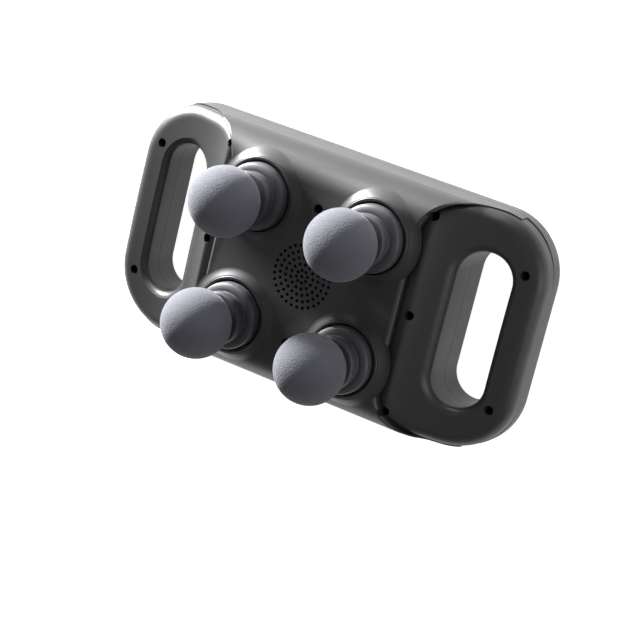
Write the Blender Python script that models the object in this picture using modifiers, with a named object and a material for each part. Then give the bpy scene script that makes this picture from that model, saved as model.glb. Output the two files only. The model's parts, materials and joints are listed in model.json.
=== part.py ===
"""Two-handled percussion massager with four ball heads, lying on its back with the heads up.

Frame: +X runs along the body from grip to grip, +Y across it, +Z from the flat back to the heads.
The origin is the middle of the back face.
"""
import math

import bmesh
import bpy
from mathutils import Matrix, Vector

# Body
body_length = 0.292
body_width = 0.152
body_depth = 0.057
parting_height = 0.0185
wall = 0.0025
side_roll_radius = 0.020
side_roll_steps = 4
back_edge_radius = 0.012
back_edge_steps = 5
body_corner_radius = 0.040
centre_block_half_length = 0.1187
corner_steps = 5
straight_steps = 2

# Grip ring at each end of the body
ring_inner_x = 0.0672
ring_side_inset = 0.0008
ledge_drop = 0.0065
ledge_start_rise = 0.006
ledge_blend_length = 0.026
ledge_steps = 7
ring_inner_corner_radius = 0.027
ring_rim_radius = 0.008
ring_rim_steps = 2
ring_face_drop = 0.0039
ring_fall = 0.0215
ring_fall_length = 0.029
ring_crown_radius = 2.4
valley_depth_share = 0.35

# Finger slot through each grip
slot_centre_x = 0.1088
slot_width = 0.0335
slot_length = 0.099
slot_rim_radius = 0.005
slot_chamfer = 0.0012

# Fits and cutters
gap = 0.0003
cut_overrun = 0.004

# Massage heads
head_x = 0.0414
head_y = 0.0393
ball_radius = 0.022
ball_centre_rise = 0.0427
ball_seat_radius = 0.013
stud_radius = 0.004
stud_length = 0.0055
collar_radius = 0.0212
collar_rise = 0.0105
collar_rim_radius = 0.0035
collar_depth = 0.004
neck_radius = 0.0122
neck_height = 0.0038
step_ring_radius = 0.0168
step_ring_height = 0.0058
step_ring_round = 0.0011
groove_radius = 0.0152
turned_steps = 16
ball_steps = 8

# Round boss of the casing under each head
boss_rise = 0.0035
boss_clearance = 0.0014
boss_wall = 0.0026
boss_flare = 0.0030
boss_skirt_depth = 0.008
boss_foot_depth = 0.0045

# Guide sleeve and piston
piston_radius = 0.015
piston_floor = 0.003
sleeve_wall = 0.0025
sleeve_length = 0.0127
flange_thickness = 0.0025
head_stroke = 0.005

# Motors and cranks
motor_axis_height = 0.021
motor_radius = 0.014
motor_length = 0.044
motor_neck_radius = 0.005
motor_neck_length = 0.0015
motor_bore_radius = 0.0019
shaft_radius = 0.0015
shaft_reach = 0.0345
crank_radius = 0.0065
crank_thickness = 0.005
crank_start_y = 0.030
crank_pin_radius = 0.0015
roller_radius = 0.004
roller_length = 0.008
window_margin = 0.0006
motor_sides = 16
small_sides = 12
cradle_half_length = 0.013
cradle_half_width = 0.012
cradle_rise = 0.0105

# Case screws
screw_hole_radius = 0.0026
screw_post_radius = 0.0044
screw_head_radius = 0.0022
screw_head_height = 0.0018
screw_shank_radius = 0.0012
screw_shank_length = 0.009
screw_floor = 0.0025
screw_bore_radius = 0.0015
screw_bore_depth = 0.0095
screw_socket_radius = 0.0010
screw_socket_depth = 0.0009
post_sides = 6
screw_sides = 8
outer_screw_x = 0.1328
outer_screw_y = 0.0433
inner_screw_x = 0.0735
inner_screw_y = 0.0630
middle_screw_x = 0.0742
centre_screw_y = 0.0439

# Fan vent and fan
vent_hole_radius = 0.0009
vent_pitch = 0.0039
vent_ring_counts = (8, 13, 19, 25, 30)
vent_hole_sides = 5
fan_frame_radius = 0.0225
fan_frame_wall = 0.0016
fan_frame_height = 0.011
fan_arm_width = 0.003
fan_arm_thickness = 0.0015
fan_stator_radius = 0.005
fan_stator_height = 0.0035
fan_axle_radius = 0.0015
fan_axle_length = 0.0048
fan_hub_radius = 0.0065
fan_hub_height = 0.0045
fan_blade_tip = 0.0190
fan_blade_width = 0.006
fan_blade_thickness = 0.001
fan_blade_tilt = math.radians(32)
fan_blade_count = 7

# Battery, tray and boards
cell_radius = 0.009
cell_length = 0.065
cell_spacing = 0.020
cell_cap_radius = 0.0030
cell_cap_height = 0.0009
tray_half_x = 0.0235
tray_half_y = 0.0370
tray_thickness = 0.002
tray_underside = 0.0095
tray_post = 0.003
board_thickness = 0.0016
board_clearance = 0.0015
chip_size = 0.010
chip_height = 0.0018

# Buttons on the back
button_radius = 0.005
button_clearance = 0.0004
button_recess = 0.0006
button_flange_radius = 0.0063
button_flange_thickness = 0.001
button_stem_radius = 0.0015
button_stem_length = 0.0016
button_travel = 0.0008
button_spacing = 0.016
keypad_half_x = 0.0256
keypad_half_y = 0.0085
keypad_leg = 0.002

# Charge socket in the long side
socket_width = 0.0090
socket_height = 0.0034
socket_depth = 0.007
socket_wall = 0.0005
socket_centre_z = 0.0138
socket_tongue_thickness = 0.0007
socket_collar = 0.0015

half_length = body_length / 2
half_width = body_width / 2
slot_half_width = slot_width / 2
slot_half_length = slot_length / 2
ring_half_y = half_width - ring_side_inset
inner_floor = wall
split_low = parting_height - gap / 2
split_high = parting_height + gap / 2
crank_throw = head_stroke / 2
up = Vector((0, 0, 1))
quarter_turn = math.pi / 2


def clear_scene():
    for old in list(bpy.data.objects):
        bpy.data.objects.remove(old, do_unlink=True)


def make_material(name, colour, roughness, metallic):
    material = bpy.data.materials.new(name)
    material.use_nodes = True
    shader = material.node_tree.nodes["Principled BSDF"]
    shader.inputs["Base Color"].default_value = (*colour, 1)
    shader.inputs["Roughness"].default_value = roughness
    shader.inputs["Metallic"].default_value = metallic
    return material


def link_object(name, mesh, finish, collection):
    thing = bpy.data.objects.new(name, mesh)
    collection.objects.link(thing)
    if finish:
        mesh.materials.append(make_material(name + "_finish", *finish))
    return thing


def finish_mesh(name, bm, finish, collection):
    bmesh.ops.recalc_face_normals(bm, faces=bm.faces[:])
    mesh = bpy.data.meshes.new(name)
    bm.to_mesh(mesh)
    bm.free()
    return link_object(name, mesh, finish, collection)


def as_part(name, bm, finish):
    return finish_mesh(name, bm, finish, parts)


def as_cutter(name, bm):
    cutter = finish_mesh(name, bm, None, cutters)
    hide_cutter(cutter)
    return cutter


def hide_cutter(cutter):
    cutter.hide_render = True
    cutter.display_type = "WIRE"


def combine(target, operation, tool, solver="EXACT"):
    """Join or cut one object with another by a Boolean; the casing needs the manifold solver."""
    modifier = target.modifiers.new(tool.name, "BOOLEAN")
    modifier.operation = operation
    modifier.object = tool
    modifier.solver = solver


def add_box(bm, low, high):
    size = Vector(high) - Vector(low)
    middle = (Vector(high) + Vector(low)) / 2
    matrix = Matrix.Translation(middle) @ Matrix.Diagonal((*size, 1))
    bmesh.ops.create_cube(bm, size=1, matrix=matrix)


def add_rod(bm, start, end, radius, sides):
    """A closed cylinder from one end point to the other."""
    run = Vector(end) - Vector(start)
    turn = up.rotation_difference(run).to_matrix().to_4x4()
    matrix = Matrix.Translation((Vector(start) + Vector(end)) / 2) @ turn
    bmesh.ops.create_cone(bm, cap_ends=True, segments=sides, radius1=radius, radius2=radius,
                          depth=run.length, matrix=matrix)


def add_loft(bm, rings):
    """Join closed rings of equally many points, and cap the first and the last."""
    rows = [[bm.verts.new(point) for point in ring] for ring in rings]
    count = len(rows[0])
    for lower, upper in zip(rows, rows[1:]):
        for i in range(count):
            j = (i + 1) % count
            bm.faces.new((lower[i], lower[j], upper[j], upper[i]))
    bm.faces.new(rows[0][::-1])
    bm.faces.new(rows[-1])


def turned(name, profile, finish, collection, steps=turned_steps, place=(0, 0, 0), tilt=0):
    """A profile of (radius, height) points turned about the object's Z axis."""
    mesh = bpy.data.meshes.new(name)
    closed = profile[0][0] > 0
    count = len(profile)
    edges = [(i, i + 1) for i in range(count - 1)]
    if closed:
        edges.append((count - 1, 0))
    mesh.from_pydata([(radius, 0, height) for radius, height in profile], edges, [])
    thing = link_object(name, mesh, finish, collection)
    screw = thing.modifiers.new("turn", "SCREW")
    screw.axis = "Z"
    screw.steps = steps
    screw.render_steps = steps
    screw.use_merge_vertices = True
    screw.merge_threshold = 0.00001
    screw.use_smooth_shade = True
    thing.location = place
    thing.rotation_euler = (tilt, 0, 0)
    return thing


def outline(low_x, high_x, half_y, low_radius, high_radius, grow=0, end_steps=straight_steps):
    """A rounded rectangle, counter-clockwise, grown outwards by a distance."""
    corners = (
        (high_x + grow, -half_y - grow, high_radius + grow, -quarter_turn, -1, 1),
        (high_x + grow, half_y + grow, high_radius + grow, 0, -1, -1),
        (low_x - grow, half_y + grow, low_radius + grow, quarter_turn, 1, -1),
        (low_x - grow, -half_y - grow, low_radius + grow, 2 * quarter_turn, 1, 1),
    )
    arcs = []
    for x, y, radius, start, inward_x, inward_y in corners:
        centre = Vector((x + inward_x * radius, y + inward_y * radius))
        arc = []
        for i in range(corner_steps + 1):
            angle = start + quarter_turn * i / corner_steps
            arc.append(centre + radius * Vector((math.cos(angle), math.sin(angle))))
        arcs.append(arc)
    points = []
    for i, arc in enumerate(arcs):
        following = arcs[(i + 1) % len(arcs)][0]
        steps = end_steps if i % 2 else straight_steps
        points += arc if steps else arc[:-1]
        for j in range(1, steps):
            points.append(arc[-1].lerp(following, j / steps))
    return points


def body_outline(grow):
    return outline(-half_length, half_length, half_width, body_corner_radius,
                   body_corner_radius, grow)


def ring_outline(grow=0):
    return outline(ring_inner_x, half_length, ring_half_y, ring_inner_corner_radius,
                   body_corner_radius, grow)


def slot_outline(grow=0):
    return outline(slot_centre_x - slot_half_width, slot_centre_x + slot_half_width,
                   slot_half_length, slot_half_width, slot_half_width, grow, 0)


def ring_face(x, y):
    """Height of the grip ring's front face, which falls away outwards in an easing curve."""
    reach = max(0, abs(x) - middle_screw_x)
    fall = ring_fall * (1 - math.exp(-reach / ring_fall_length))
    crown = y * y / ring_crown_radius
    return body_depth - ring_face_drop - fall - crown


def rim_share(x, y):
    """Share of the rim's full depth: small in the valley beside the heads, whole elsewhere."""
    along = (abs(x) - ring_inner_x) / ring_inner_corner_radius
    across = (abs(y) / ring_inner_corner_radius - 1)
    rise = min(1, max(0, along, across))
    return valley_depth_share + (1 - valley_depth_share) * rise


def plateau_height(y):
    """Height of the centre block's front over its rolled long sides."""
    past = abs(y) - (half_width - side_roll_radius)
    if past <= 0:
        return body_depth
    return body_depth - side_roll_radius + math.sqrt(side_roll_radius ** 2 - past ** 2)


def mirrored(ring):
    return [Vector((-point.x, point.y, point.z)) for point in reversed(ring)]


def both_sides(rings):
    """One mesh of a lofted body at the +X end and its mirror image."""
    bm = bmesh.new()
    add_loft(bm, rings)
    add_loft(bm, [mirrored(ring) for ring in rings])
    return bm


def at_height(points, height):
    return [Vector((point.x, point.y, height)) for point in points]


def grip_ring(inset, low_z, depth):
    """Solid of the grip rings: side wall, rounded rim and falling face, with no slot yet."""
    radius = ring_rim_radius
    rings = [at_height(ring_outline(-inset), low_z)]
    for i in range(ring_rim_steps + 1):
        angle = quarter_turn * i / ring_rim_steps
        shift = radius * (1 - math.cos(angle))
        drop = radius * (1 - math.sin(angle))
        rings.append([
            Vector((p.x, p.y, ring_face(p.x, p.y) - drop * rim_share(p.x, p.y) - depth))
            for p in ring_outline(-inset - shift)])
    inner = outline(slot_centre_x - slot_half_width / 2, slot_centre_x + slot_half_width / 2,
                    slot_half_length - slot_half_width / 2, slot_half_width / 3, slot_half_width / 3)
    outer = rings[-1]
    for share in (0.4, 0.8):
        blend = [Vector((a.x, a.y)).lerp(b, share) for a, b in zip(outer, inner)]
        rings.append([Vector((p.x, p.y, ring_face(p.x, p.y) - depth)) for p in blend])
    rings.append(at_height(inner, ring_face(slot_centre_x, 0) - depth))
    return both_sides(rings)


def slot_cutter():
    """The finger slots: chamfered at the back, upright walls and a rounded front rim."""
    rings = [at_height(slot_outline(slot_chamfer + cut_overrun), -cut_overrun),
             at_height(slot_outline(), slot_chamfer)]
    for angle in (0, math.radians(30), math.radians(60)):
        shift = slot_rim_radius * (1 - math.cos(angle))
        drop = slot_rim_radius * (1 - math.sin(angle))
        rings.append([Vector((p.x, p.y, ring_face(p.x, p.y) - drop)) for p in slot_outline(shift)])
    rise = 2 * slot_rim_radius
    rings.append([p + up * rise for p in rings[-1]])
    for p, q in zip(rings[-1], slot_outline(shift + rise)):
        p.x = q.x
        p.y = q.y
    return both_sides(rings)


def slot_wall_block():
    """What the casing's inside leaves standing round each finger slot."""
    grow = wall
    rings = [at_height(slot_outline(grow), -cut_overrun),
             at_height(slot_outline(grow), body_depth + cut_overrun)]
    return both_sides(rings)


def centre_block(inset, half_x, low_z):
    """The straight middle of the body: a flat front with rolled long sides."""
    edge = half_width - inset
    top = body_depth - inset
    radius = side_roll_radius - inset
    section = [Vector((0, edge, low_z))]
    for i in range(side_roll_steps + 1):
        angle = quarter_turn * i / side_roll_steps
        section.append(Vector((0, edge - radius + radius * math.cos(angle),
                               top - radius + radius * math.sin(angle))))
    section += [Vector((0, -p.y, p.z)) for p in reversed(section)]
    bm = bmesh.new()
    add_loft(bm, [[p + Vector((x, 0, 0)) for p in section] for x in (half_x, -half_x)])
    return bm


def ledge_roof():
    """What lowers the centre block's long sides beside the falling grip rings."""
    section = []
    for i in range(ledge_steps + 1):
        share = i / ledge_steps
        x = middle_screw_x * (1 - share) + (centre_block_half_length + cut_overrun) * share
        part = min(1, (x - middle_screw_x) / ledge_blend_length)
        ease = part * part * (3 - 2 * part)
        shift = ledge_start_rise * (1 - ease) - ledge_drop * ease
        section.append(Vector((x, 0, ring_face(x, half_width) + shift)))
    section.append(Vector((section[-1].x, 0, body_depth + cut_overrun)))
    section.append(Vector((section[0].x, 0, body_depth + cut_overrun)))
    reach = half_width + cut_overrun
    return both_sides([[p + Vector((0, y, 0)) for p in section] for y in (-reach, reach)])


def vent_places():
    places = [(0, 0)]
    for ring, count in enumerate(vent_ring_counts, start=1):
        for i in range(count):
            angle = 2 * math.pi * (i / count) + ring
            places.append((ring * vent_pitch * math.cos(angle), ring * vent_pitch * math.sin(angle)))
    return places


def screw_places():
    """Name and place of each case screw, with the height of the surface above it."""
    places = []
    for side_x in (-1, 1):
        for side_y in (-1, 1):
            x, y = side_x * outer_screw_x, side_y * outer_screw_y
            places.append((x, y, ring_face(x, y)))
            x, y = side_x * inner_screw_x, side_y * inner_screw_y
            places.append((x, y, ring_face(x, y) - ring_rim_radius / 3))
        x = side_x * middle_screw_x
        places.append((x, 0, ring_face(x, 0)))
        places.append((0, side_x * centre_screw_y, body_depth))
    return places


def head_places():
    for name_x, side_x in (("left", -1), ("right", 1)):
        for name_y, side_y in (("lower", -1), ("upper", 1)):
            yield name_x + "_" + name_y, side_x * head_x, side_y * head_y, side_y


def make_front_shell(finish):
    """Front casing: centre block and grip rings, hollow, with head bosses and screw posts."""
    shell = as_part("front_shell", centre_block(0, centre_block_half_length, split_high), finish)
    rings = [at_height(ring_outline(), split_high - cut_overrun),
             at_height(ring_outline(), body_depth + cut_overrun)]
    combine(shell, "DIFFERENCE", as_cutter("ring_space", both_sides(rings)), "MANIFOLD")
    plan = bmesh.new()
    add_loft(plan, [at_height(body_outline(0), split_high - cut_overrun),
                    at_height(body_outline(0), body_depth + cut_overrun)])
    combine(shell, "INTERSECT", as_cutter("body_plan", plan), "MANIFOLD")
    combine(shell, "DIFFERENCE", as_cutter("ledge_roof", ledge_roof()), "MANIFOLD")
    combine(shell, "UNION", as_cutter("ring_bodies", grip_ring(-gap / 3, split_high, 0)), "MANIFOLD")

    hollow = as_cutter("front_hollow", centre_block(wall, ring_inner_x - wall, split_high - cut_overrun))
    combine(hollow, "UNION", as_cutter("ring_hollows",
                                       grip_ring(wall, split_high - cut_overrun - wall, wall)), "MANIFOLD")
    belly = bmesh.new()
    belly_top = ring_face(half_length, 0) - ring_rim_radius - wall
    add_box(belly, (-centre_block_half_length + wall, -half_width + wall, split_high - cut_overrun - gap),
            (centre_block_half_length - wall, half_width - wall, belly_top))
    combine(hollow, "UNION", as_cutter("belly", belly), "MANIFOLD")
    throat = bmesh.new()
    throat_y = ring_half_y - ring_inner_corner_radius + 2 * wall
    add_box(throat, (-ring_inner_x - 2 * wall, -throat_y, split_high - cut_overrun + gap),
            (ring_inner_x + 2 * wall, throat_y, body_depth - boss_skirt_depth))
    combine(hollow, "UNION", as_cutter("throat", throat), "MANIFOLD")
    combine(hollow, "DIFFERENCE", as_cutter("slot_walls", slot_wall_block()), "MANIFOLD")
    combine(shell, "DIFFERENCE", hollow, "MANIFOLD")

    inner = collar_radius + boss_clearance
    outer = inner + boss_wall
    boss = [(0, boss_rise), (outer - boss_wall / 3, boss_rise), (outer, boss_rise - boss_wall / 3),
            (outer + boss_flare / 2, boss_rise / 3), (outer + boss_flare, -gap),
            (outer + boss_flare, -boss_foot_depth), (outer, -boss_foot_depth),
            (outer, -boss_skirt_depth), (0, -boss_skirt_depth)]
    bores = bmesh.new()
    for name, x, y, side in head_places():
        mound = turned("boss_" + name, boss, None, cutters, place=(x, y, body_depth))
        hide_cutter(mound)
        combine(shell, "UNION", mound, "MANIFOLD")
        add_rod(bores, (x, y, body_depth - boss_skirt_depth - cut_overrun),
                (x, y, body_depth + boss_rise + cut_overrun), inner, turned_steps)
    posts = bmesh.new()
    for x, y, top in screw_places():
        add_rod(posts, (x, y, split_high), (x, y, top - wall / 2), screw_post_radius, post_sides)
        add_rod(bores, (x, y, split_high + screw_floor), (x, y, top + cut_overrun),
                screw_hole_radius, screw_sides)
    shanks = bmesh.new()
    for x, y, top in screw_places():
        add_rod(shanks, (x, y, split_high - cut_overrun / 2), (x, y, split_high + 2 * screw_floor),
                screw_bore_radius, post_sides)
    for x, y in vent_places():
        add_rod(bores, (x, y, body_depth - wall - cut_overrun), (x, y, body_depth + cut_overrun),
                vent_hole_radius, vent_hole_sides)
    combine(shell, "UNION", as_cutter("front_posts", posts), "MANIFOLD")
    combine(shell, "DIFFERENCE", as_cutter("front_slots", slot_cutter()), "MANIFOLD")
    combine(shell, "DIFFERENCE", as_cutter("front_bores", bores), "MANIFOLD")
    combine(shell, "DIFFERENCE", as_cutter("shank_bores", shanks), "MANIFOLD")


def back_rounding(inset):
    """Outlines of the rounding round the flat back, drawn in evenly by an inset."""
    radius = back_edge_radius - inset
    outlines = []
    for step in range(back_edge_steps + 1):
        angle = math.pi / 2 * step / back_edge_steps
        outlines.append(at_height(body_outline(-inset - radius * (1 - math.sin(angle))),
                                  back_edge_radius - radius * math.cos(angle)))
    return outlines


def make_rear_shell(finish):
    """Back casing: a shallow tray with a flat back, slot walls, screw posts and button holes."""
    bm = bmesh.new()
    add_loft(bm, back_rounding(0) + [at_height(body_outline(0), split_low)])
    shell = as_part("rear_shell", bm, finish)
    hollow = bmesh.new()
    add_loft(hollow, back_rounding(wall) + [at_height(body_outline(-wall), split_low + cut_overrun)])
    hollow = as_cutter("rear_hollow", hollow)
    combine(hollow, "DIFFERENCE", as_cutter("rear_slot_walls", slot_wall_block()))
    combine(shell, "DIFFERENCE", hollow)
    posts = bmesh.new()
    bores = bmesh.new()
    for x, y, top in screw_places():
        add_rod(posts, (x, y, inner_floor / 2), (x, y, split_low), screw_post_radius, post_sides)
        add_rod(bores, (x, y, split_low - screw_bore_depth), (x, y, split_low + cut_overrun),
                screw_bore_radius, post_sides)
    for i in (-1, 0, 1):
        add_rod(bores, (i * button_spacing, 0, -cut_overrun), (i * button_spacing, 0, inner_floor + gap),
                button_radius + button_clearance, turned_steps)
    half_socket = Vector((socket_width, 0, socket_height)) / 2
    add_box(bores, (-half_socket.x, -half_width - cut_overrun, socket_centre_z - half_socket.z),
            (half_socket.x, -half_width + wall + cut_overrun, socket_centre_z + half_socket.z))
    combine(shell, "UNION", as_cutter("rear_posts", posts))
    combine(shell, "DIFFERENCE", as_cutter("rear_slots", slot_cutter()))
    combine(shell, "DIFFERENCE", as_cutter("rear_bores", bores))


def make_screws(finish):
    """Case screws, sunk in the front posts and driven into the rear posts."""
    seat = split_high + screw_floor + gap
    top = seat + screw_head_height
    profile = [(0, top - screw_socket_depth), (screw_socket_radius, top - screw_socket_depth),
               (screw_socket_radius, top), (screw_head_radius, top), (screw_head_radius, seat),
               (screw_shank_radius, seat), (screw_shank_radius, seat - screw_shank_length),
               (0, seat - screw_shank_length)]
    for number, (x, y, height) in enumerate(screw_places(), start=1):
        turned("case_screw_%02d" % number, profile, finish, parts, steps=post_sides, place=(x, y, 0))


def make_heads(ball_finish, collar_finish, piston_finish, sleeve_finish):
    """Ball heads on their collars, and the pistons and sleeves that guide them."""
    neck_z = ball_centre_rise - math.sqrt(ball_radius ** 2 - ball_seat_radius ** 2)
    seat_angle = math.asin(ball_seat_radius / ball_radius)
    bore = stud_radius + gap
    ball = []
    for i in range(ball_steps + 1):
        angle = (math.pi - seat_angle) * i / ball_steps
        ball.append((ball_radius * math.sin(angle), ball_centre_rise + ball_radius * math.cos(angle)))
    ball[0] = (0, ball_centre_rise + ball_radius)
    ball += [(bore, neck_z), (bore, neck_z + stud_length), (0, neck_z + stud_length)]

    top = neck_z - gap
    ring_top = top - neck_height
    ring_low = ring_top - step_ring_height
    collar = [(0, top + stud_length - gap), (stud_radius, top + stud_length - gap), (stud_radius, top),
              (neck_radius, top), (neck_radius, ring_top),
              (step_ring_radius - step_ring_round, ring_top),
              (step_ring_radius, ring_top - step_ring_round), (step_ring_radius, ring_low),
              (groove_radius, collar_rise),
              (collar_radius - collar_rim_radius, collar_rise),
              (collar_radius - collar_rim_radius / 3, collar_rise - collar_rim_radius / 3),
              (collar_radius, collar_rise - collar_rim_radius),
              (collar_radius, -collar_depth), (0, -collar_depth)]

    drop = collar_depth + gap
    window_half_height = roller_radius + head_stroke + window_margin
    window_half_width = roller_radius + crank_throw + 2 * window_margin + (crank_radius - roller_radius) / 2
    low = motor_axis_height - window_half_height - piston_floor
    piston = [(0, body_depth - drop), (piston_radius, body_depth - drop), (piston_radius, low), (0, low)]

    sleeve_inner = piston_radius + gap
    flange_outer = collar_radius + boss_clearance + boss_wall - 3 * gap
    sleeve_top = -boss_skirt_depth - gap
    sleeve = [(sleeve_inner, sleeve_top), (flange_outer, sleeve_top),
              (flange_outer, sleeve_top - flange_thickness),
              (sleeve_inner + sleeve_wall, sleeve_top - flange_thickness),
              (sleeve_inner + sleeve_wall, sleeve_top - sleeve_length),
              (sleeve_inner, sleeve_top - sleeve_length)]

    window = bmesh.new()
    add_box(window, (-window_half_width, -2 * piston_radius, motor_axis_height - window_half_height),
            (window_half_width, 2 * piston_radius, motor_axis_height + window_half_height))
    window = as_cutter("piston_window", window)
    for name, x, y, side in head_places():
        turned("massage_ball_" + name, ball, ball_finish, parts, place=(x, y, body_depth))
        turned("head_collar_" + name, collar, collar_finish, parts, place=(x, y, body_depth))
        turned("guide_sleeve_" + name, sleeve, sleeve_finish, parts, place=(x, y, body_depth))
        plunger = turned("head_piston_" + name, piston, piston_finish, parts, place=(x, y, 0))
        opening = bpy.data.objects.new("window_" + name, window.data)
        opening.location = (x, y, 0)
        cutters.objects.link(opening)
        hide_cutter(opening)
        combine(plunger, "DIFFERENCE", opening)


def make_drives(can_finish, steel_finish, roller_finish, cradle_finish):
    """A motor between each pair of heads, with a crank and roller at both shaft ends."""
    half_motor = motor_length / 2
    can = [(motor_bore_radius, half_motor + motor_neck_length),
           (motor_neck_radius, half_motor + motor_neck_length),
           (motor_neck_radius, half_motor), (motor_radius, half_motor),
           (motor_radius, -half_motor), (motor_neck_radius, -half_motor),
           (motor_neck_radius, -half_motor - motor_neck_length),
           (motor_bore_radius, -half_motor - motor_neck_length)]
    for name_x, side_x in (("left", -1), ("right", 1)):
        x = side_x * head_x
        turned("motor_" + name_x, can, can_finish, parts, steps=motor_sides,
               place=(x, 0, motor_axis_height), tilt=quarter_turn)
        shaft = bmesh.new()
        add_rod(shaft, (x, -shaft_reach, motor_axis_height), (x, shaft_reach, motor_axis_height),
                shaft_radius, small_sides)
        as_part("motor_shaft_" + name_x, shaft, steel_finish)

        cradle = bmesh.new()
        add_box(cradle, (x - cradle_half_width, -cradle_half_length, inner_floor + gap),
                (x + cradle_half_width, cradle_half_length, cradle_rise))
        cradle = as_part("motor_cradle_" + name_x, cradle, cradle_finish)
        trough = bmesh.new()
        add_rod(trough, (x, -motor_length, motor_axis_height), (x, motor_length, motor_axis_height),
                motor_radius + gap, motor_sides)
        combine(cradle, "DIFFERENCE", as_cutter("trough_" + name_x, trough))

    for name, x, y, side in head_places():
        pin_x = x + side * crank_throw
        start = side * crank_start_y
        middle = side * (crank_start_y + crank_thickness)
        end = middle + side * (roller_length + 2 * gap)
        disc = bmesh.new()
        add_rod(disc, (x, start, motor_axis_height), (x, middle, motor_axis_height),
                crank_radius, 2 * post_sides)
        disc = as_part("crank_" + name, disc, steel_finish)
        pin = bmesh.new()
        add_rod(pin, (pin_x, (start + middle) / 2, motor_axis_height),
                (pin_x, end, motor_axis_height), crank_pin_radius, small_sides)
        bore = bmesh.new()
        add_rod(bore, (x, start - side * cut_overrun, motor_axis_height),
                (x, side * (shaft_reach + gap), motor_axis_height), shaft_radius + gap, small_sides)
        combine(disc, "UNION", as_cutter("pin_" + name, pin))
        combine(disc, "DIFFERENCE", as_cutter("crank_bore_" + name, bore))

        low = middle + side * gap
        ends = sorted((low, low + side * roller_length))
        inner = crank_pin_radius + gap
        roller = [(inner, ends[1]), (roller_radius, ends[1]), (roller_radius, ends[0]), (inner, ends[0])]
        roller = [(radius, -height) for radius, height in reversed(roller)]
        turned("crank_roller_" + name, roller, roller_finish, parts, steps=small_sides,
               place=(pin_x, 0, motor_axis_height), tilt=quarter_turn)


def make_fan(frame_finish, rotor_finish):
    """Cooling fan behind the vent: a spidered frame with its stator and axle, and the rotor."""
    top = body_depth - wall - gap
    low = top - fan_frame_height
    inner = fan_frame_radius - fan_frame_wall
    frame = turned("fan_frame", [(inner, top), (fan_frame_radius, top), (fan_frame_radius, low), (inner, low)],
                   frame_finish, parts)
    half_arm = fan_arm_width / 2
    reach = fan_frame_radius - fan_frame_wall / 2
    along = bmesh.new()
    add_box(along, (-reach, -half_arm, low), (reach, half_arm, low + fan_arm_thickness))
    combine(frame, "UNION", as_cutter("fan_arm_x", along))
    across = bmesh.new()
    add_box(across, (-half_arm, -reach, low), (half_arm, reach, low + fan_arm_thickness))
    combine(frame, "UNION", as_cutter("fan_arm_y", across))
    stator_top = low + fan_stator_height
    stator = turned("fan_stator", [(0, stator_top + fan_axle_length), (fan_axle_radius, stator_top + fan_axle_length),
                                   (fan_axle_radius, stator_top), (fan_stator_radius, stator_top),
                                   (fan_stator_radius, low), (0, low)], None, cutters, steps=small_sides)
    hide_cutter(stator)
    combine(frame, "UNION", stator)

    hub_low = stator_top + gap
    hub_top = hub_low + fan_hub_height
    bore = fan_axle_radius + gap
    rotor = turned("fan_rotor", [(bore, hub_top), (fan_hub_radius, hub_top),
                                 (fan_hub_radius, hub_low), (bore, hub_low)], rotor_finish, parts)
    middle_z = (hub_low + hub_top) / 2
    for i in range(fan_blade_count):
        angle = 2 * math.pi * i / fan_blade_count
        blade = bmesh.new()
        root = fan_hub_radius - fan_blade_thickness
        size = Matrix.Diagonal((fan_blade_tip - root, fan_blade_width, fan_blade_thickness, 1))
        shift = Matrix.Translation(((fan_blade_tip + root) / 2, 0, 0))
        turn = Matrix.Rotation(angle, 4, "Z")
        tilt = Matrix.Rotation(fan_blade_tilt, 4, "X")
        lift = Matrix.Translation((0, 0, middle_z))
        bmesh.ops.create_cube(blade, size=1, matrix=lift @ turn @ shift @ tilt @ size)
        combine(rotor, "UNION", as_cutter("fan_blade_%d" % (i + 1), blade))


def make_power_pack(cell_finish, tray_finish, board_finish):
    """Two cells in a tray that also carries the control board."""
    tray_top = tray_underside + tray_thickness
    cell_z = tray_top + gap + cell_radius
    half_cell = cell_length / 2
    for name, side in (("left", -1), ("right", 1)):
        cap = cell_cap_radius
        profile = [(0, half_cell + cell_cap_height), (cap, half_cell + cell_cap_height), (cap, half_cell),
                   (cell_radius, half_cell), (cell_radius, -half_cell), (0, -half_cell)]
        turned("battery_cell_" + name, profile, cell_finish, parts,
               place=(side * cell_spacing / 2, 0, cell_z), tilt=quarter_turn)
    board_low = cell_z + cell_radius + board_clearance
    tray = bmesh.new()
    add_box(tray, (-tray_half_x, -tray_half_y, tray_underside), (tray_half_x, tray_half_y, tray_top))
    tray = as_part("battery_tray", tray, tray_finish)
    posts = bmesh.new()
    for side_x in (-1, 1):
        for side_y in (-1, 1):
            outer = Vector((side_x * (tray_half_x - gap), side_y * (tray_half_y - gap)))
            inner = Vector((side_x * (tray_half_x - gap - tray_post), side_y * (tray_half_y - gap - tray_post)))
            add_box(posts, (min(outer.x, inner.x), min(outer.y, inner.y), inner_floor + gap),
                    (max(outer.x, inner.x), max(outer.y, inner.y), board_low - gap))
    combine(tray, "UNION", as_cutter("tray_posts", posts))

    board = bmesh.new()
    add_box(board, (-tray_half_x, -tray_half_y, board_low),
            (tray_half_x, tray_half_y, board_low + board_thickness))
    board = as_part("control_board", board, board_finish)
    chips = bmesh.new()
    for side in (-1, 1):
        middle = side * tray_half_y / 2
        add_box(chips, (-chip_size / 2, middle - chip_size / 2, board_low + board_thickness / 2),
                (chip_size / 2, middle + chip_size / 2, board_low + board_thickness + chip_height))
    combine(board, "UNION", as_cutter("board_chips", chips))


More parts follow.
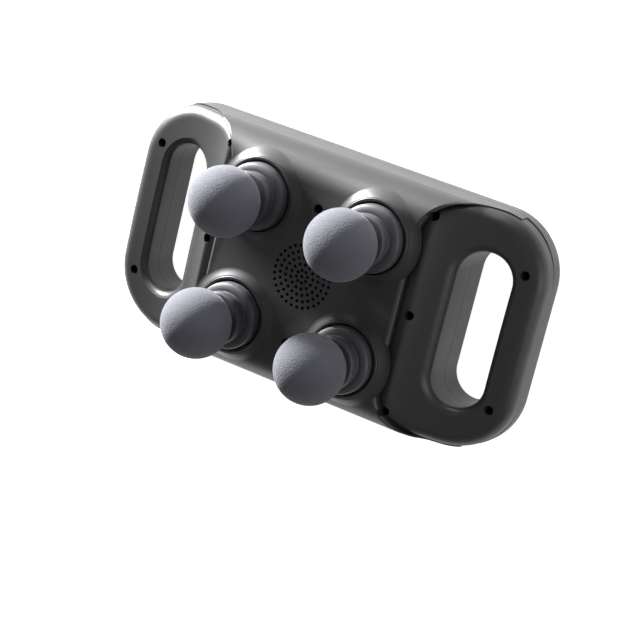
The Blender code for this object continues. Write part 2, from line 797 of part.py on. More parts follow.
def make_controls(button_finish, board_finish, socket_finish):
    """Three push buttons sunk in the back, their switch board, and the charge socket."""
    flange_low = inner_floor + gap
    flange_top = flange_low + button_flange_thickness
    stem_top = flange_top + button_stem_length
    profile = [(0, stem_top), (button_stem_radius, stem_top), (button_stem_radius, flange_top),
               (button_flange_radius, flange_top), (button_flange_radius, flange_low),
               (button_radius, flange_low), (button_radius, button_recess), (0, button_recess)]
    for i, name in enumerate(("speed_down_button", "power_button", "speed_up_button")):
        turned(name, profile, button_finish, parts, place=((i - 1) * button_spacing, 0, 0))

    board_low = stem_top + button_travel + gap
    board = bmesh.new()
    add_box(board, (-keypad_half_x, -keypad_half_y, board_low),
            (keypad_half_x, keypad_half_y, board_low + board_thickness))
    board = as_part("switch_board", board, board_finish)
    legs = bmesh.new()
    for side in (-1, 1):
        outer = side * (keypad_half_x - gap)
        inner = side * (keypad_half_x - gap - keypad_leg)
        add_box(legs, (min(outer, inner), -keypad_half_y + gap, inner_floor + gap),
                (max(outer, inner), keypad_half_y - gap, board_low + board_thickness / 2))
    combine(board, "UNION", as_cutter("switch_board_legs", legs))

    half_x = socket_width / 2 - gap
    half_z = socket_height / 2 - gap
    face = -half_width + gap
    back = face + socket_depth
    socket = bmesh.new()
    add_box(socket, (-half_x, face, socket_centre_z - half_z), (half_x, back, socket_centre_z + half_z))
    socket = as_part("charge_socket", socket, socket_finish)
    lip = bmesh.new()
    add_box(lip, (-half_x - socket_collar, -half_width + wall + gap, socket_centre_z - half_z - socket_collar),
            (half_x + socket_collar, back - socket_wall, socket_centre_z + half_z + socket_collar))
    combine(socket, "UNION", as_cutter("socket_lip", lip))
    mouth = bmesh.new()
    add_box(mouth, (-half_x + socket_wall, face - cut_overrun, socket_centre_z - half_z + socket_wall),
            (half_x - socket_wall, back - 2 * socket_wall, socket_centre_z + half_z - socket_wall))
    mouth = as_cutter("socket_mouth", mouth)
    tongue = bmesh.new()
    half_tongue = socket_tongue_thickness / 2
    add_box(tongue, (-half_x / 2, face + socket_wall, socket_centre_z - half_tongue),
            (half_x / 2, back, socket_centre_z + half_tongue))
    combine(mouth, "DIFFERENCE", as_cutter("socket_tongue", tongue))
    combine(socket, "DIFFERENCE", mouth)


clear_scene()
parts = bpy.data.collections.new("percussion_massager")
cutters = bpy.data.collections.new("cutters")
for group in (parts, cutters):
    bpy.context.scene.collection.children.link(group)

dark_plastic = ((0.032, 0.032, 0.033), 0.45, 0)
black_plastic = ((0.020, 0.020, 0.022), 0.50, 0)
slate_foam = ((0.085, 0.088, 0.105), 0.85, 0)
slate_plastic = ((0.055, 0.057, 0.066), 0.45, 0)
white_plastic = ((0.62, 0.62, 0.60), 0.40, 0)
grey_plastic = ((0.18, 0.18, 0.18), 0.50, 0)
bright_steel = ((0.60, 0.60, 0.58), 0.30, 1)
zinc_can = ((0.52, 0.53, 0.54), 0.35, 1)
black_steel = ((0.050, 0.050, 0.052), 0.40, 1)
green_board = ((0.020, 0.120, 0.050), 0.50, 0)
blue_sleeve = ((0.030, 0.100, 0.300), 0.40, 0)

make_front_shell(dark_plastic)
make_rear_shell(dark_plastic)
make_screws(black_steel)
make_heads(slate_foam, slate_plastic, white_plastic, grey_plastic)
make_drives(zinc_can, bright_steel, bright_steel, grey_plastic)
make_fan(black_plastic, black_plastic)
make_power_pack(blue_sleeve, grey_plastic, green_board)
make_controls(black_plastic, green_board, bright_steel)
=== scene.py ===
"""Looks of a two-handled percussion massager with four ball heads, lying on its back."""
import json

import bmesh
import bpy
import numpy as np
from mathutils import Matrix, Vector


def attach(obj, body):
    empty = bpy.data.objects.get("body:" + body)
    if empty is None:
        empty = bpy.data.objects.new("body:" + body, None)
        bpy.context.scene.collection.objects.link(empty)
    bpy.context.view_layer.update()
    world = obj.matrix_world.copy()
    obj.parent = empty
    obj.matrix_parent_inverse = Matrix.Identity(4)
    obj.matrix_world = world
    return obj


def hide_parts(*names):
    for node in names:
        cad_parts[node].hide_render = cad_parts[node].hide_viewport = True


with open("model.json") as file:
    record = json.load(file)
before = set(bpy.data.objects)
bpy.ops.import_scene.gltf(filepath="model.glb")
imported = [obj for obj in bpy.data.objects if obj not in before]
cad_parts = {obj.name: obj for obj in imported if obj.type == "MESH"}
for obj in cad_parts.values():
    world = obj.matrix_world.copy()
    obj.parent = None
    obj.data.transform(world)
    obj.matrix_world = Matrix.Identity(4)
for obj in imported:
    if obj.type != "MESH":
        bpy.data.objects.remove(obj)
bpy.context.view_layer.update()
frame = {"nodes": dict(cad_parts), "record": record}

# Camera and studio
# The camera stands high over the right-hand grip with its top edge rolled towards the far
# long side. A soft key grazes the face from the left end, and the world fills the rest.
camera_place = Vector((0.6133, 0.3570, 1.2650))
camera_right = Vector((0.8423, 0.2314, -0.4867))
camera_up = Vector((-0.3317, 0.9344, -0.1298))
camera_back = camera_right.cross(camera_up)
camera_lens = 127.9
camera_data = bpy.data.cameras.new("camera")
camera_data.lens = camera_lens
camera_data.sensor_width = 36
camera_data.clip_end = 20
camera = bpy.data.objects.new("camera", camera_data)
bpy.context.scene.collection.objects.link(camera)
turn = Matrix((camera_right, camera_up, camera_back)).transposed().to_4x4()
camera.matrix_world = Matrix.Translation(camera_place) @ turn
bpy.context.scene.camera = camera
bpy.context.scene.view_settings.view_transform = "Standard"


def add_lamp(name, place, target, size, watts):
    """A square soft box at a place, aimed at a target."""
    lamp = bpy.data.lights.new(name, "AREA")
    lamp.size = size
    lamp.energy = watts
    holder = bpy.data.objects.new(name, lamp)
    bpy.context.scene.collection.objects.link(holder)
    holder.location = place
    holder.rotation_euler = (Vector(target) - Vector(place)).to_track_quat("-Z", "Y").to_euler()


body_centre = (0, 0, 0.05)
add_lamp("key", (-1.22, 0.78, 0.15), (0, 0, 0.095), 0.25, 125)
add_lamp("far_side", (-0.30, 1.50, 0.70), body_centre, 0.7, 9)
add_lamp("right_end", (1.35, 0.10, 0.62), (0.1, 0, 0.03), 0.6, 5)
add_lamp("top", (0.3, -0.2, 1.9), body_centre, 1.0, 0.8)

world = bpy.data.worlds.new("studio")
bpy.context.scene.world = world
world.use_nodes = True
world_nodes = world.node_tree.nodes
world_links = world.node_tree.links
seen = world_nodes.new("ShaderNodeBackground")
seen.inputs["Color"].default_value = (1, 1, 1, 1)
fill = world_nodes["Background"]
fill.inputs["Color"].default_value = (1, 1, 1, 1)
fill.inputs["Strength"].default_value = 0.23
ray = world_nodes.new("ShaderNodeLightPath")
choose = world_nodes.new("ShaderNodeMixShader")
world_links.new(ray.outputs["Is Camera Ray"], choose.inputs[0])
world_links.new(fill.outputs[0], choose.inputs[1])
world_links.new(seen.outputs[0], choose.inputs[2])
world_links.new(choose.outputs[0], world_nodes["World Output"].inputs["Surface"])

# Floor
# A plain pale sweep under the massager, which keeps its shadow.
floor_reach = 6
floor_corners = [(x * floor_reach, y * floor_reach, 0) for x, y in ((-1, -1), (1, -1), (1, 1), (-1, 1))]
floor_mesh = bpy.data.meshes.new("floor")
floor_mesh.from_pydata(floor_corners, [], [(0, 1, 2, 3)])
floor = bpy.data.objects.new("floor", floor_mesh)
bpy.context.scene.collection.objects.link(floor)
floor_paint = bpy.data.materials.new("pale_floor")
floor_paint.use_nodes = True
floor_nodes = floor_paint.node_tree.nodes
floor_links = floor_paint.node_tree.links
floor_shader = floor_nodes["Principled BSDF"]
floor_shader.inputs["Base Color"].default_value = (0.86, 0.86, 0.86, 1)
floor_shader.inputs["Roughness"].default_value = 0.8
floor_glow = floor_nodes.new("ShaderNodeEmission")
floor_glow.inputs["Strength"].default_value = 0.92
floor_ray = floor_nodes.new("ShaderNodeLightPath")
floor_lift = floor_nodes.new("ShaderNodeAddShader")
floor_mix = floor_nodes.new("ShaderNodeMixShader")
floor_links.new(floor_shader.outputs[0], floor_lift.inputs[0])
floor_links.new(floor_glow.outputs[0], floor_lift.inputs[1])
floor_seen = floor_nodes.new("ShaderNodeMath")
floor_seen.operation = "MAXIMUM"
floor_links.new(floor_ray.outputs["Is Camera Ray"], floor_seen.inputs[0])
floor_links.new(floor_ray.outputs["Is Glossy Ray"], floor_seen.inputs[1])
floor_links.new(floor_seen.outputs[0], floor_mix.inputs[0])
floor_links.new(floor_shader.outputs[0], floor_mix.inputs[1])
floor_links.new(floor_lift.outputs[0], floor_mix.inputs[2])
floor_links.new(floor_mix.outputs[0], floor_nodes["Material Output"].inputs["Surface"])
floor_mesh.materials.append(floor_paint)


# Front casing
# One moulded shell of dark satin plastic: a straight centre block with rolled long sides,
# a falling grip ring at each end, round bosses for the heads and a drilled vent.
gap = 0.0003
overlap = gap / 3
wall = 0.0025
over = 0.004
half_length = 0.146
half_width = 0.076
body_depth = 0.057
parting = 0.0185
side_roll = 0.020
body_corner = 0.040
back_radius = 0.012
back_steps = 14
block_half_length = 0.1187
ring_inner_x = 0.0672
ring_side_inset = 0.0008
ring_inner_corner = 0.027
ring_rim = 0.008
ring_drop = 0.0039
ring_fall = 0.0215
ring_fall_length = 0.029
ring_crown = 2.4
ring_start = 0.0742
valley_share = 0.22
corner_start = 0.058
valley_lip = 0.0028
ledge_drop = 0.0065
ledge_start_rise = 0.006
ledge_blend_length = 0.026
slot_x = 0.1088
slot_half_width = 0.01675
slot_half_length = 0.0495
slot_rim = 0.005
slot_chamfer = 0.0012
head_x = 0.0414
head_y = 0.0393
collar_radius = 0.0212
boss_bore = collar_radius + 0.0014
boss_rise = 0.0035
boss_land = 0.0022
boss_flare = 0.0060
boss_well = 0.008
boss_edge = 0.0008
boss_edge_start = 0.3
boss_edge_steps = 4
boss_fullness_share = 0.6
boss_steps = 120
flare_steps = 14
chamber_half_length = 0.0645
post_radius = 0.0046
post_y = 0.0439
screw_hole = 0.0030
screw_seat = 0.0028
outer_screw_x = 0.1328
outer_screw_y = 0.0433
inner_screw_x = 0.0735
inner_screw_y = 0.0630
vent_hole = 0.00115
vent_pitch = 0.0039
vent_sides = 14
vent_counts = (8, 13, 19, 25, 30)
arc_count = 26
straight_count = 16
shoulder_steps = 28
rim_steps = 12
face_steps = 16
last_face_share = 0.9
mouth_steps = 10
lip_steps = 7
open_angle = 1.3
mouth_flare_share = 0.6
ledge_steps = 40


def solid(name, rings):
    """A closed mesh from rings of points, an array of (rings, points, 3), with flat end caps."""
    rows, count = rings.shape[:2]
    index = np.arange(rows * count).reshape(rows, count)
    following = np.roll(index, -1, axis=1)
    quads = np.stack([index[:-1], following[:-1], following[1:], index[1:]], axis=-1).reshape(-1, 4)
    faces = [tuple(q) for q in quads.tolist()]
    faces.append(tuple(index[0, ::-1].tolist()))
    faces.append(tuple(index[-1].tolist()))
    mesh = bpy.data.meshes.new(name)
    mesh.from_pydata(rings.reshape(-1, 3).tolist(), [], faces)
    bm = bmesh.new()
    bm.from_mesh(mesh)
    bmesh.ops.recalc_face_normals(bm, faces=bm.faces[:])
    bm.to_mesh(mesh)
    bm.free()
    thing = bpy.data.objects.new(name, mesh)
    bpy.context.scene.collection.objects.link(thing)
    return thing


def mirror_rings(rings):
    """The same rings on the other side of x = 0, still running the same way round."""
    return (rings * np.array([-1, 1, 1]))[:, ::-1]


def both(name, rings):
    """One mesh holding a solid and its mirror image."""
    return merge(name, [solid(name + "_a", rings), solid(name + "_b", mirror_rings(rings))])


def merge(name, things):
    """Puts several meshes in one object, unchanged."""
    bm = bmesh.new()
    for thing in things:
        bm.from_mesh(thing.data)
        bpy.data.objects.remove(thing)
    mesh = bpy.data.meshes.new(name)
    bm.to_mesh(mesh)
    bm.free()
    joined = bpy.data.objects.new(name, mesh)
    bpy.context.scene.collection.objects.link(joined)
    return joined


def carve(thing, operation, tool):
    """Applies one Boolean and removes its tool."""
    modifier = thing.modifiers.new("carve", "BOOLEAN")
    modifier.operation = operation
    modifier.solver = "MANIFOLD"
    modifier.object = tool
    evaluated = thing.evaluated_get(bpy.context.evaluated_depsgraph_get())
    mesh = bpy.data.meshes.new_from_object(evaluated)
    thing.modifiers.clear()
    thing.data = mesh
    bpy.data.objects.remove(tool)


def outline(low_x, high_x, half_y, low_radius, high_radius, grow=0.0):
    """Rounded rectangle grown by a distance: four quarter arcs joined by straight runs."""
    corners = ((high_x, -half_y, high_radius, -0.5, -1, 1), (high_x, half_y, high_radius, 0, -1, -1),
               (low_x, half_y, low_radius, 0.5, 1, -1), (low_x, -half_y, low_radius, 1, 1, 1))
    arcs = []
    for x, y, radius, start, inward_x, inward_y in corners:
        angle = np.pi * (start + 0.5 * np.linspace(0, 1, arc_count))
        centre = np.array([x + inward_x * radius, y + inward_y * radius])
        arcs.append(centre + (radius + grow) * np.stack([np.cos(angle), np.sin(angle)], -1))
    runs = []
    for arc, following in zip(arcs, arcs[1:] + arcs[:1]):
        share = np.linspace(0, 1, straight_count + 1)[1:-1, None]
        run = arc[-1] * (1 - share) + following[0] * share
        runs += [arc, run] if np.linalg.norm(arc[-1] - following[0]) > gap / 10 else [arc[:-1]]
    return np.concatenate(runs)


def ring_outline(grow=0.0):
    return outline(ring_inner_x, half_length, half_width - ring_side_inset, ring_inner_corner,
                   body_corner, grow)


def slot_outline(grow=0.0):
    return outline(slot_x - slot_half_width, slot_x + slot_half_width, slot_half_length,
                   slot_half_width, slot_half_width, grow)


def ring_face(points):
    """Front of the grip ring: falls outwards in an easing curve and is crowned across."""
    reach = np.maximum(0, np.abs(points[:, 0]) - ring_start)
    fall = ring_fall * (1 - np.exp(-reach / ring_fall_length))
    return body_depth - ring_drop - fall - points[:, 1] ** 2 / ring_crown


def rim_share(points):
    """Share of the rim's rounding: small in the valley beside the heads, whole elsewhere."""
    along = (np.abs(points[:, 0]) - ring_inner_x) / ring_inner_corner
    across = (np.abs(points[:, 1]) - corner_start) / (half_width - corner_start)
    rise = np.clip(np.maximum(along, across), 0, 1)
    smooth = rise * rise * (3 - 2 * rise)
    return valley_share + (1 - valley_share) * smooth


def lift(points, height):
    """Adds a height, one number or one for each point, to flat points."""
    return np.column_stack([points, np.broadcast_to(height, len(points))])


def grip_ring():
    """Side wall, quarter-round rim, then the face as blends between the rim and the slot."""
    rings = [lift(ring_outline(overlap), parting + gap / 2)]
    for angle in np.linspace(0, np.pi / 2, rim_steps):
        points = ring_outline(overlap - ring_rim * (1 - np.cos(angle)))
        drop = ring_rim * (1 - np.sin(angle)) * rim_share(points)
        rings.append(lift(points, ring_face(points) - drop))
    rim = rings[-1][:, :2]
    core_half_width = slot_half_width / 2
    core_corner = slot_half_width / 3
    inner = outline(slot_x - core_half_width, slot_x + core_half_width,
                    slot_half_length - core_half_width, core_corner, core_corner)
    for share in np.linspace(0, last_face_share, face_steps)[1:]:
        points = rim * (1 - share) + inner * share
        rings.append(lift(points, ring_face(points)))
    rings.append(lift(inner, ring_face(np.array([[slot_x, 0.0]]))[0]))
    return both("grip_rings", np.stack(rings))


def slot_tool():
    """Finger slot: back chamfer, upright wall and a quarter-round mouth that follows the face."""
    rings = [lift(slot_outline(slot_chamfer + over), -over), lift(slot_outline(), slot_chamfer)]
    for angle in np.linspace(0, open_angle, mouth_steps):
        points = slot_outline(slot_rim * (1 - np.cos(angle)))
        rings.append(lift(points, ring_face(points) - slot_rim * (1 - np.sin(angle))))
    end = slot_outline(slot_rim * (2 - np.cos(open_angle)))
    rings.append(lift(end, rings[-1][:, 2] + slot_rim * mouth_flare_share))
    rings.append(lift(end, body_depth + over))
    return both("slots", np.stack(rings))


def block():
    """Centre block: one section with quarter-round shoulders, drawn along x."""
    angle = np.linspace(0, np.pi / 2, shoulder_steps)
    right = np.stack([half_width - side_roll + side_roll * np.cos(angle),
                      body_depth - side_roll + side_roll * np.sin(angle)], -1)
    right = np.concatenate([[[half_width, parting + gap / 2]], right])
    section = np.concatenate([right, (right * [-1, 1])[::-1]])
    stations = (block_half_length, -block_half_length)
    return solid("front_casing", np.stack([np.column_stack([np.full(len(section), x), section])
                                           for x in stations]))


def shoulder(points):
    """Height of the block's front at flat points, over its rolled long sides."""
    past = np.clip(np.abs(points[:, 1]) - (half_width - side_roll), 0, side_roll)
    return body_depth - side_roll + np.sqrt(side_roll ** 2 - past ** 2)


def ring_space():
    """Room for the grip rings, with a quarter-round lip where the block ends."""
    rings = [lift(ring_outline(), parting - over)]
    for angle in np.linspace(0, open_angle, lip_steps):
        points = ring_outline(valley_lip * (1 - np.cos(angle)))
        rings.append(lift(points, shoulder(points) - valley_lip * (1 - np.sin(angle))))
    rings.append(lift(ring_outline(2 * valley_lip), body_depth + over))
    return both("ring_space", np.stack(rings))


def ledge_roof():
    """Takes the block's long sides down with the falling grip rings."""
    x = np.linspace(ring_start + gap, block_half_length + over, ledge_steps)
    part = np.clip((x - ring_start) / ledge_blend_length, 0, 1)
    ease = part * part * (3 - 2 * part)
    shift = ledge_start_rise * (1 - ease) - ledge_drop * ease
    edge = ring_face(np.stack([x, np.full(len(x), half_width)], -1)) + shift
    section = np.concatenate([np.stack([x, edge], -1),
                              [[x[-1], body_depth + over], [x[0], body_depth + over]]])
    stations = (-half_width - over, half_width + over)
    rings = np.stack([np.stack([section[:, 0], np.full(len(section), y), section[:, 1]], -1)
                      for y in stations])
    return both("ledge_roof", rings)


def rod(name, x, y, low, high, radius, sides=32):
    """A plain round tool between two heights."""
    angle = np.linspace(0, 2 * np.pi, sides, endpoint=False)
    circle = np.stack([x + radius * np.cos(angle), y + radius * np.sin(angle)], -1)
    return solid(name, np.stack([lift(circle, low), lift(circle, high)]))


def boss(x, y):
    """Round boss: a level land that flares out and down to the block's own front."""
    angle = np.linspace(0, 2 * np.pi, boss_steps, endpoint=False)
    direction = np.stack([np.cos(angle), np.sin(angle)], -1)
    rings = [lift([x, y] + direction * boss_bore / 2, body_depth - boss_well),
             lift([x, y] + direction * (boss_bore + wall), body_depth - boss_well)]
    outer = boss_bore + boss_land + boss_flare
    edge = [x, y] + direction * outer
    foot = np.minimum(shoulder(edge), body_depth) - gap / 2
    rings.append(lift(edge, foot - wall))
    for share in np.linspace(1, 0, flare_steps):
        points = [x, y] + direction * (boss_bore + boss_land + boss_flare * share)
        ease = (1 - share) ** 2 * (1 + boss_fullness_share * share)
        base = np.minimum(shoulder(points), body_depth) - gap / 2
        rings.append(lift(points, base + (body_depth + boss_rise - boss_edge - base) * ease))
    for turn_angle in np.linspace(boss_edge_start, np.pi / 2, boss_edge_steps):
        points = [x, y] + direction * (boss_bore + boss_land - boss_edge * np.sin(turn_angle))
        rings.append(lift(points, body_depth + boss_rise - boss_edge * np.cos(turn_angle)))
    rings.append(lift([x, y] + direction * boss_bore / 2, body_depth + boss_rise))
    return solid("boss", np.stack(rings))


def chamber():
    """Hollow for the works between the grips: the block's own section drawn in by a wall."""
    angle = np.linspace(0, np.pi / 2, shoulder_steps)
    reach = side_roll - wall
    right = np.stack([half_width - side_roll + reach * np.cos(angle),
                      body_depth - side_roll + reach * np.sin(angle)], -1)
    foot = back_radius - wall
    low = np.stack([half_width - back_radius + foot * np.sin(angle),
                    back_radius - foot * np.cos(angle)], -1)
    right = np.concatenate([low, right])
    section = np.concatenate([right, (right * [-1, 1])[::-1]])
    stations = (chamber_half_length, -chamber_half_length)
    return solid("chamber", np.stack([np.column_stack([np.full(len(section), x), section])
                                      for x in stations]))


def posts(low, high):
    """Screw posts beside the long sides, between two heights."""
    return merge("posts", [rod("post", 0, y, low, high, post_radius) for y in (-post_y, post_y)])


def screw_places():
    """The twelve case screws, by mirror images of four places."""
    outer = [(outer_screw_x * sx, outer_screw_y * sy) for sx in (-1, 1) for sy in (-1, 1)]
    inner = [(inner_screw_x * sx, inner_screw_y * sy) for sx in (-1, 1) for sy in (-1, 1)]
    return outer + inner + [(-ring_start, 0), (ring_start, 0), (0, -post_y), (0, post_y)]


def body_outline(grow=0.0):
    return outline(-half_length, half_length, half_width, body_corner, body_corner, grow)


front = block()
plan = np.stack([lift(body_outline(), parting - over), lift(body_outline(), body_depth + over)])
carve(front, "INTERSECT", solid("body_plan", plan))
carve(front, "DIFFERENCE", ring_space())
carve(front, "DIFFERENCE", ledge_roof())
carve(front, "UNION", grip_ring())
for sx in (-1, 1):
    for sy in (-1, 1):
        carve(front, "UNION", boss(sx * head_x, sy * head_y))
carve(front, "DIFFERENCE", chamber())
carve(front, "UNION", posts(parting + gap / 2, body_depth - wall / 2))
roof = body_depth + over
bore_floor = body_depth - boss_well - gap
holes = [rod("bore", sx * head_x, sy * head_y, bore_floor, roof, boss_bore, boss_steps)
         for sx in (-1, 1) for sy in (-1, 1)]
holes += [rod("screw_hole", x, y, parting + screw_seat, roof, screw_hole) for x, y in screw_places()]
vents = [(0, 0)]
for ring_number, count in enumerate(vent_counts, start=1):
    angle = 2 * np.pi * np.arange(count) / count + ring_number
    radius = ring_number * vent_pitch
    vents += [(radius * np.cos(a), radius * np.sin(a)) for a in angle]
holes += [rod("vent", x, y, body_depth - 2 * wall, roof, vent_hole, vent_sides) for x, y in vents]
carve(front, "DIFFERENCE", merge("holes", holes))
carve(front, "DIFFERENCE", slot_tool())


def moulded_grain():
    """Shader group: slow colour drift, roughness drift and a fine spark-eroded grain."""
    group = bpy.data.node_groups.new("moulded_grain", "ShaderNodeTree")
    face = group.interface
    for name, start in (("Grain", 1400.0), ("Depth", 0.12), ("Drift", 0.06), ("Roughness", 0.45)):
        face.new_socket(name, in_out="INPUT", socket_type="NodeSocketFloat").default_value = start
    face.new_socket("Colour", in_out="INPUT", socket_type="NodeSocketColor")
    face.new_socket("Base Color", in_out="OUTPUT", socket_type="NodeSocketColor")
    face.new_socket("Surface Roughness", in_out="OUTPUT", socket_type="NodeSocketFloat")
    face.new_socket("Normal", in_out="OUTPUT", socket_type="NodeSocketVector")
    nodes, links = group.nodes, group.links
    given = nodes.new("NodeGroupInput")
    result = nodes.new("NodeGroupOutput")
    place = nodes.new("ShaderNodeTexCoord")
    fine = nodes.new("ShaderNodeTexNoise")
    fine.inputs["Detail"].default_value = 3
    slow = nodes.new("ShaderNodeTexNoise")
    slow.inputs["Scale"].default_value = 38
    slow.inputs["Detail"].default_value = 4
    links.new(place.outputs["Object"], fine.inputs["Vector"])
    links.new(place.outputs["Object"], slow.inputs["Vector"])
    links.new(given.outputs["Grain"], fine.inputs["Scale"])
    bump = nodes.new("ShaderNodeBump")
    bump.inputs["Distance"].default_value = 0.0004
    links.new(given.outputs["Depth"], bump.inputs["Strength"])
    links.new(fine.outputs["Fac"], bump.inputs["Height"])
    links.new(bump.outputs["Normal"], result.inputs["Normal"])
    swing = nodes.new("ShaderNodeMath")
    swing.operation = "MULTIPLY_ADD"
    swing.inputs[1].default_value = 2
    swing.inputs[2].default_value = -1
    links.new(slow.outputs["Fac"], swing.inputs[0])
    amount = nodes.new("ShaderNodeMath")
    amount.operation = "MULTIPLY"
    links.new(swing.outputs[0], amount.inputs[0])
    links.new(given.outputs["Drift"], amount.inputs[1])
    rough = nodes.new("ShaderNodeMath")
    rough.operation = "ADD"
    links.new(given.outputs["Roughness"], rough.inputs[0])
    links.new(amount.outputs[0], rough.inputs[1])
    links.new(rough.outputs[0], result.inputs["Surface Roughness"])
    level = nodes.new("ShaderNodeMath")
    level.operation = "ADD"
    level.inputs[1].default_value = 1
    links.new(amount.outputs[0], level.inputs[0])
    shade = nodes.new("ShaderNodeVectorMath")
    shade.operation = "SCALE"
    links.new(given.outputs["Colour"], shade.inputs[0])
    links.new(level.outputs[0], shade.inputs["Scale"])
    links.new(shade.outputs[0], result.inputs["Base Color"])
    return group


grain_group = moulded_grain()


def finish(name, colour, roughness, grain=1400.0, depth=0.12, drift=0.06, metallic=0.0, sheen=0.0):
    """A Principled surface whose colour, roughness and normal come from the grain group."""
    material = bpy.data.materials.new(name)
    material.use_nodes = True
    nodes, links = material.node_tree.nodes, material.node_tree.links
    shader = nodes["Principled BSDF"]
    shader.inputs["Metallic"].default_value = metallic
    shader.inputs["Sheen Weight"].default_value = sheen
    skin = nodes.new("ShaderNodeGroup")
    skin.node_tree = grain_group
    values = {"Grain": grain, "Depth": depth, "Drift": drift, "Roughness": roughness}
    for socket, value in values.items():
        skin.inputs[socket].default_value = value
    skin.inputs["Colour"].default_value = (*colour, 1)
    links.new(skin.outputs["Base Color"], shader.inputs["Base Color"])
    links.new(skin.outputs["Surface Roughness"], shader.inputs["Roughness"])
    links.new(skin.outputs["Normal"], shader.inputs["Normal"])
    return material


def dress(thing, material, body, slot, *nodes, crease=0.6):
    """Smooth shading with creases, one material, and the body and nodes it stands for; the slot argument
    is not used.
    """
    thing.data.materials.clear()
    thing.data.materials.append(material)
    thing.data.shade_smooth()
    thing.data.set_sharp_from_angle(angle=crease)
    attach(thing, body)
    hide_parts(*nodes)


casing_finish = finish("satin_dark_grey", (0.025, 0.025, 0.0255), 0.44, 1600, 0.07, 0.05)
dress(front, casing_finish, "casing", "casing", "front_shell")

# Rear casing
# The shallow back half of the shell, in the same plastic: a flat back with a broad edge
# rounding, slot walls that meet the front's, and three button holes.
button_radius = 0.005
button_clearance = 0.0004
button_sides = 48
button_spacing = 0.016
socket_half = (0.0045, 0.0017)
socket_z = 0.0138


rear_rings = [lift(body_outline(-back_radius * (1 - np.sin(a))), back_radius * (1 - np.cos(a)))
              for a in np.linspace(0, np.pi / 2, back_steps)]
rear_rings.append(lift(body_outline(), parting - gap / 2))
rear = solid("rear_casing", np.stack(rear_rings))
button_bore = button_radius + button_clearance
rear_holes = [rod("button_hole", i * button_spacing, 0, -over, wall + over, button_bore, button_sides)
              for i in (-1, 0, 1)]
socket_points = np.array([(-1, -1), (1, -1), (1, 1), (-1, 1)]) * socket_half
socket_x = socket_points[:, 0]
socket_heights = socket_points[:, 1] + socket_z
socket_rings = [np.column_stack([socket_x, np.full(len(socket_x), y), socket_heights])
                for y in (-half_width - over, -half_width + 2 * wall)]
rear_holes.append(solid("socket_hole", np.stack(socket_rings)))
carve(rear, "DIFFERENCE", chamber())
carve(rear, "UNION", posts(wall / 2, parting - gap / 2))
carve(rear, "DIFFERENCE", merge("rear_holes", rear_holes))
carve(rear, "DIFFERENCE", slot_tool())
dress(rear, casing_finish, "casing", "casing", "rear_shell")

# Ball heads
# Turned balls of closed-cell foam on satin moulded collars. Each collar has a neck, a step
# ring, a groove and a broad rounded flange that runs in the casing's boss.
ball_radius = 0.022
ball_rise = 0.0427
ball_seat = 0.013
pole_angle = 0.0004
ball_steps = 70
collar_core_radius = 0.004
neck_radius = 0.0122
neck_height = 0.0038
step_radius = 0.0168
step_height = 0.0058
waist_radius = 0.0150
flange_height = 0.0105
flange_crest_radius = 0.0180
flange_edge_height = 0.0088
collar_foot = -0.004
collar_foot_radius = 0.012
collar_round = 0.0016
collar_crease = 0.9
foam_finish = finish("slate_foam", (0.088, 0.090, 0.108), 0.90, 1000, 1.0, 0.08, sheen=0.10)
collar_finish = finish("slate_collar", (0.048, 0.049, 0.056), 0.52, 1500, 0.08, 0.05)


def lathe(name, profile, x, y, z, steps=112):
    """A profile of (radius, height) points turned about an upright axis, closed at its poles."""
    angle = np.linspace(0, 2 * np.pi, steps, endpoint=False)
    points = np.stack([x + profile[:, 0, None] * np.cos(angle), y + profile[:, 0, None] * np.sin(angle),
                       np.broadcast_to(z + profile[:, 1, None], (len(profile), steps))], -1)
    return solid(name, points)


def rounded(points, radius, steps=5):
    """Rounds the inner corners of an open (radius, height) line with short quadratic bends."""
    points = np.array(points, float)
    line = [points[0]]
    for before, corner, after in zip(points, points[1:], points[2:]):
        reach = [min(radius, np.linalg.norm(p - corner) * 0.45) for p in (before, after)]
        start = corner + (before - corner) / np.linalg.norm(before - corner) * reach[0]
        end = corner + (after - corner) / np.linalg.norm(after - corner) * reach[1]
        for t in np.linspace(0, 1, steps):
            line.append((1 - t) ** 2 * start + 2 * t * (1 - t) * corner + t ** 2 * end)
    line.append(points[-1])
    return np.array(line)


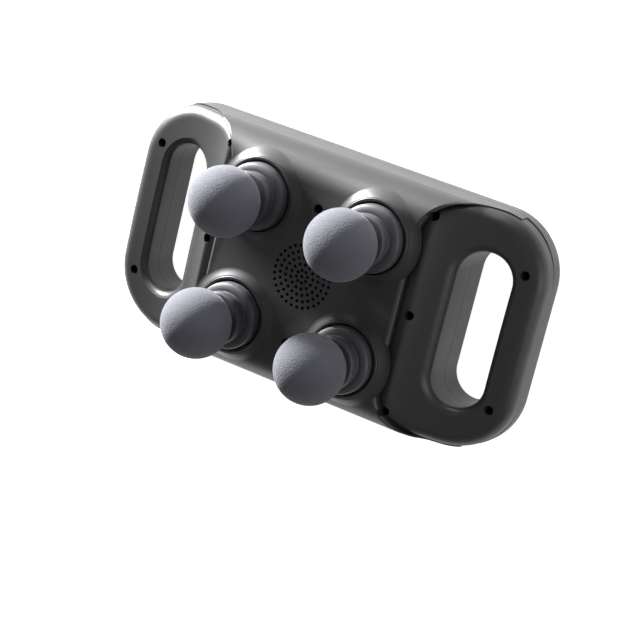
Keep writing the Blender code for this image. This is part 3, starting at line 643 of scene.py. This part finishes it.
seat_z = ball_rise - np.sqrt(ball_radius ** 2 - ball_seat ** 2)
ball_angle = np.linspace(pole_angle, np.pi - np.arcsin(ball_seat / ball_radius), ball_steps)
ball_profile = np.stack([ball_radius * np.sin(ball_angle),
                         ball_rise + ball_radius * np.cos(ball_angle)], -1)
collar_top = seat_z - gap
step_top = collar_top - neck_height
collar_profile = rounded([(collar_core_radius, collar_top), (neck_radius, collar_top),
                          (neck_radius, step_top), (step_radius, step_top),
                          (step_radius, step_top - step_height), (waist_radius, flange_height),
                          (flange_crest_radius, flange_height), (collar_radius, flange_edge_height),
                          (collar_radius, collar_foot), (collar_foot_radius, collar_foot)], collar_round)
for side_name, sx in (("left", -1), ("right", 1)):
    for row_name, sy in (("lower", -1), ("upper", 1)):
        name = side_name + "_" + row_name
        ball = lathe("foam_ball_" + name, ball_profile, sx * head_x, sy * head_y, body_depth)
        dress(ball, foam_finish, "head_" + name, "ball", "massage_ball_" + name)
        collar = lathe("flange_collar_" + name, collar_profile, sx * head_x, sy * head_y, body_depth)
        dress(collar, collar_finish, "head_" + name, "collar", "head_collar_" + name, crease=collar_crease)

# Back buttons
# Three dished push buttons sunk in the flat back. Depths count inwards from the back.
button_finish = finish("button_black", (0.018, 0.018, 0.019), 0.35, 1500, 0.06, 0.05)
dish_radius = 0.0030
dish_depth = 0.0012
dish_slope_depth = 0.0009
lip_radius = 0.0047
lip_depth = 0.0006
side_start = 0.0010
cap_depth = 0.0027
pip_radius = 0.0005
stem_radius = 0.0012
button_round = 0.0003
cap_steps = 64
button_profile = rounded([(pip_radius, dish_depth), (dish_radius, dish_slope_depth),
                          (lip_radius, lip_depth), (button_radius, side_start),
                          (button_radius, cap_depth), (stem_radius, cap_depth)], button_round)
for i, name in enumerate(("speed_down_button", "power_button", "speed_up_button")):
    cap = lathe(name + "_cap", button_profile, (i - 1) * button_spacing, 0, 0, cap_steps)
    dress(cap, button_finish, name, "black", name)

# Working parts
# What the casing holds: turned steel, plated motor cans, plain mouldings, sleeved cells and
# lacquered boards. The solids keep their shape and take a finish by record slot.
inner_finishes = {
    "piston": finish("white_bearing_plastic", (0.60, 0.60, 0.58), 0.35, 900, 0.05, 0.04),
    "moulding": finish("grey_moulding", (0.17, 0.17, 0.17), 0.5, 1200, 0.15, 0.05),
    "steel": finish("turned_steel", (0.58, 0.58, 0.56), 0.28, 2500, 0.06, 0.08, metallic=1.0),
    "screw": finish("black_screw", (0.004, 0.004, 0.004), 0.6, 1800, 0.08, 0.05, metallic=0.3),
    "motor_can": finish("plated_can", (0.52, 0.53, 0.54), 0.34, 1800, 0.05, 0.06, metallic=1.0),
    "cell": finish("shrink_sleeve", (0.03, 0.10, 0.30), 0.3, 700, 0.05, 0.05),
    "board": finish("lacquered_board", (0.02, 0.12, 0.05), 0.4, 2600, 0.20, 0.12),
    "black": finish("black_moulding", (0.012, 0.012, 0.013), 0.5, 1400, 0.12, 0.05),
}
for part in frame["record"]["subparts"]:
    material = inner_finishes.get(part["material_slot"])
    node = frame["nodes"][part["node"]]
    if material:
        node.data.materials.clear()
        node.data.materials.append(material)
